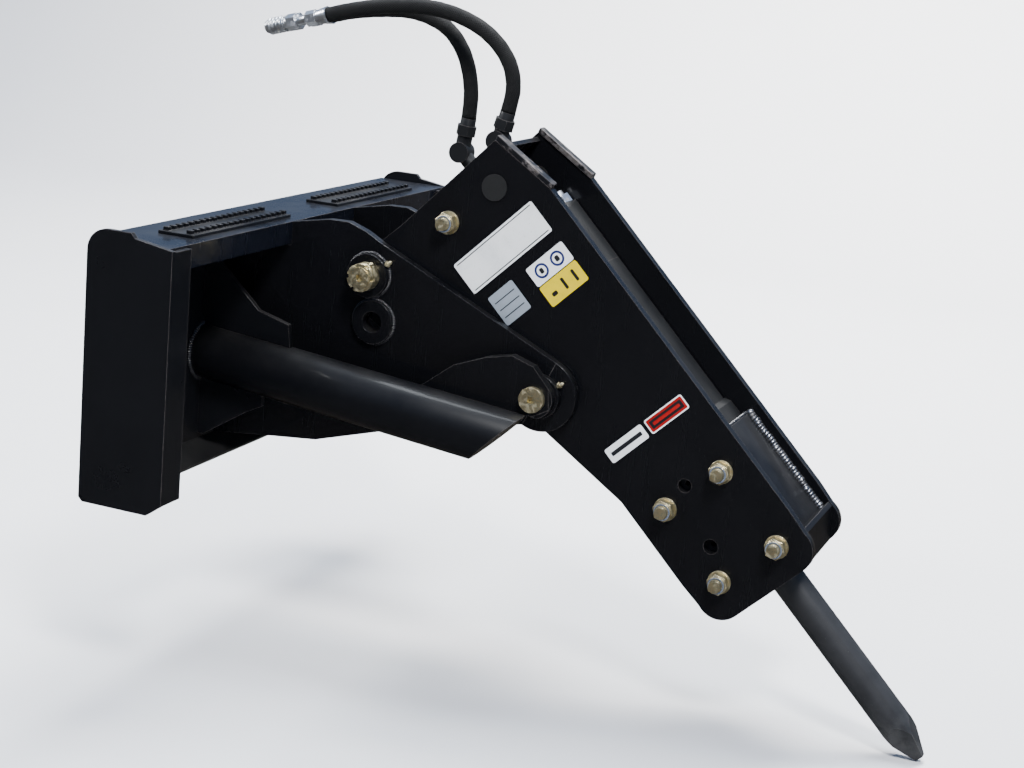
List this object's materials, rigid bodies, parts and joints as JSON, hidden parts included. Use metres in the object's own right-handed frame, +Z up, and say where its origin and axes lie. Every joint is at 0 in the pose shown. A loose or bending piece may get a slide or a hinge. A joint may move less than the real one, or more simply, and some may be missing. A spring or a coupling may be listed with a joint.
{
  "type": "hydraulic breaker attachment",
  "caption": "Hydraulic breaker hammer on a skid-steer loader frame, with a sliding chisel, piston and valve inside, braced arms and hoses with quick couplers.",
  "frame": {"origin": "middle of the flat rear face of the loader plate, where the loader's coupler bears", "axes": "+X forward, away from the loader; +Y to the loader driver's left; +Z up"},
  "size_m": [1.4876, 1.18, 1.2859],
  "materials": {
    "yellow_zinc": "yellow zinc plate",
    "silver_zinc": "clear zinc plate",
    "ground_steel": "ground and polished",
    "painted_casting": "satin black paint",
    "rubber": "matt",
    "hose_sleeve": "woven textile sleeve over rubber hose",
    "bush_steel": "hardened bush",
    "forged_steel": "dark forged steel",
    "label_film": "plain label film",
    "grip_paint": "gloss black paint on serrated plate",
    "black_paint": "gloss black paint"
  },
  "bodies": {
    "breaker": {"mount_plate": "black_paint", "lock_lip": "black_paint", "end_cheeks": "black_paint", "step_plate": "black_paint", "grip_pads": "grip_paint", "arm_plate_near": "black_paint", "arm_plate_far": "black_paint", "brace_tube_near": "black_paint", "brace_tube_far": "black_paint", "tube_caps": "black_paint", "brace_ear_near": "black_paint", "brace_ear_far": "black_paint", "foot_gussets": "black_paint", "cross_plate": "black_paint", "arm_bosses": "black_paint", "angle_bosses": "black_paint", "upper_pin": "yellow_zinc", "upper_pin_collar": "yellow_zinc", "upper_roll_pin": "yellow_zinc", "lower_pin": "yellow_zinc", "lower_pin_nut": "yellow_zinc", "grease_nipples": "yellow_zinc", "side_plate_near": "black_paint", "side_plate_far": "black_paint", "side_bushes": "bush_steel", "lower_guard": "black_paint", "bottom_plate": "black_paint", "top_plate": "black_paint", "edge_bars": "black_paint", "front_head": "painted_casting", "cylinder_body": "painted_casting", "back_head": "painted_casting", "tie_rods": "silver_zinc", "side_bolts": "yellow_zinc", "side_nuts": "yellow_zinc", "side_washers": "yellow_zinc", "valve_box": "painted_casting", "valve_covers": "painted_casting", "accumulator": "painted_casting", "accumulator_cap": "painted_casting", "diaphragm": "rubber", "gas_valve": "yellow_zinc", "seal_carrier": "silver_zinc", "upper_bush": "bush_steel", "lower_bush": "bush_steel", "dust_seal": "rubber", "side_plugs": "rubber", "spacer_tube": "painted_casting", "port_pipes": "painted_casting", "hose_pressure": "hose_sleeve", "hose_return": "hose_sleeve", "coupler_pressure": "silver_zinc", "coupler_return": "silver_zinc", "decals": "label_film"},
    "chisel": {"chisel": "forged_steel"},
    "piston": {"piston": "ground_steel"},
    "valve_spool": {"valve_spool": "ground_steel"},
    "retainer_pin": {"retainer_pin": "ground_steel"},
    "pressure_sleeve": {"coupler_sleeve_pressure": "silver_zinc"},
    "return_sleeve": {"coupler_sleeve_return": "silver_zinc"}
  },
  "joints": [
    {"name": "chisel_slide", "type": "slide", "parent": "breaker", "child": "chisel", "axis": [-0.7071, 0, 0.7071], "range_m": [0, 0.04]},
    {"name": "piston_slide", "type": "slide", "parent": "breaker", "child": "piston", "axis": [-0.7071, 0, 0.7071], "range_m": [0, 0.06]},
    {"name": "spool_slide", "type": "slide", "parent": "breaker", "child": "valve_spool", "axis": [0, 1, 0], "range_m": [0, 0.012]},
    {"name": "retainer_pin_pull", "type": "slide", "parent": "breaker", "child": "retainer_pin", "axis": [0, -1, 0], "range_m": [0, 0.21]},
    {"name": "pressure_sleeve_slide", "type": "slide", "parent": "breaker", "child": "pressure_sleeve", "axis": [0.9621, -0.0209, 0.2719], "range_m": [0, 0.007], "stiffness_N_per_m": 600, "springref_m": -0.003},
    {"name": "return_sleeve_slide", "type": "slide", "parent": "breaker", "child": "return_sleeve", "axis": [0.9676, 0, 0.2524], "range_m": [0, 0.007], "stiffness_N_per_m": 600, "springref_m": -0.003}
  ]
}
